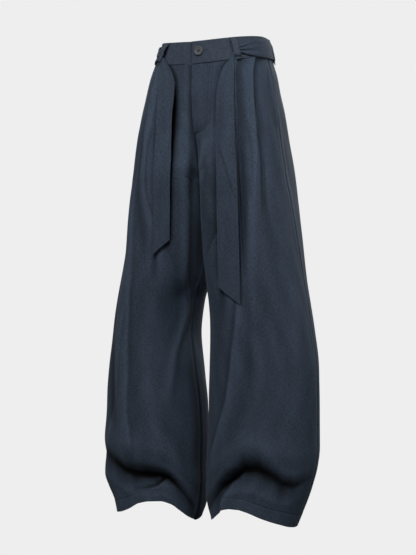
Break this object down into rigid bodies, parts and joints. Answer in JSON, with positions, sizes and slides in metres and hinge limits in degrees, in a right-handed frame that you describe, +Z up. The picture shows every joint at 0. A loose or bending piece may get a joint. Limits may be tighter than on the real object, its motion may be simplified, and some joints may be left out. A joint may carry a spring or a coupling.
{
  "type": "curved-leg pants",
  "caption": "High-waisted pants with wide legs that curve out and in again to the hem, pleated fronts, a buttoned fly and a tie belt with hanging ends, filled out as worn.",
  "frame": {"origin": "centre of the waist opening, level with the waistband's top edge at the sides, where the wearer holds the garment up", "axes": "+Z up out of the waist opening, -Y the front, +X the wearer's left"},
  "size_m": [0.4927, 0.2573, 1.023],
  "materials": {
    "front_left_cloth": "matt dark slate-blue woven cloth",
    "front_right_cloth": "matt dark slate-blue woven cloth",
    "back_left_cloth": "matt dark slate-blue woven cloth",
    "back_right_cloth": "matt dark slate-blue woven cloth",
    "belt_loop_front_left_cloth": "matt dark slate-blue woven cloth",
    "belt_loop_front_right_cloth": "matt dark slate-blue woven cloth",
    "belt_loop_side_left_cloth": "matt dark slate-blue woven cloth",
    "belt_loop_side_right_cloth": "matt dark slate-blue woven cloth",
    "belt_loop_back_cloth": "matt dark slate-blue woven cloth",
    "waistband_left_cloth": "matt dark slate-blue woven cloth",
    "waistband_right_cloth": "matt dark slate-blue woven cloth",
    "fly_cloth": "matt dark slate-blue woven cloth",
    "sash_hip_cloth": "matt dark slate-blue woven cloth",
    "sash_tail_left_cloth": "matt dark slate-blue woven cloth",
    "sash_tail_right_cloth": "matt dark slate-blue woven cloth",
    "button_plastic": "grey, smooth"
  },
  "bodies": {
    "root": {"front_left": "front_left_cloth", "front_right": "front_right_cloth", "back_left": "back_left_cloth", "back_right": "back_right_cloth", "belt_loop_front_left": "belt_loop_front_left_cloth", "belt_loop_front_right": "belt_loop_front_right_cloth", "belt_loop_side_left": "belt_loop_side_left_cloth", "belt_loop_side_right": "belt_loop_side_right_cloth", "belt_loop_back": "belt_loop_back_cloth", "waistband_left": "waistband_left_cloth", "waistband_right": "waistband_right_cloth", "fly": "fly_cloth", "sash_hip": "sash_hip_cloth", "sash_tail_left": "sash_tail_left_cloth", "sash_tail_right": "sash_tail_right_cloth", "button": "button_plastic"}
  },
  "joints": []
}
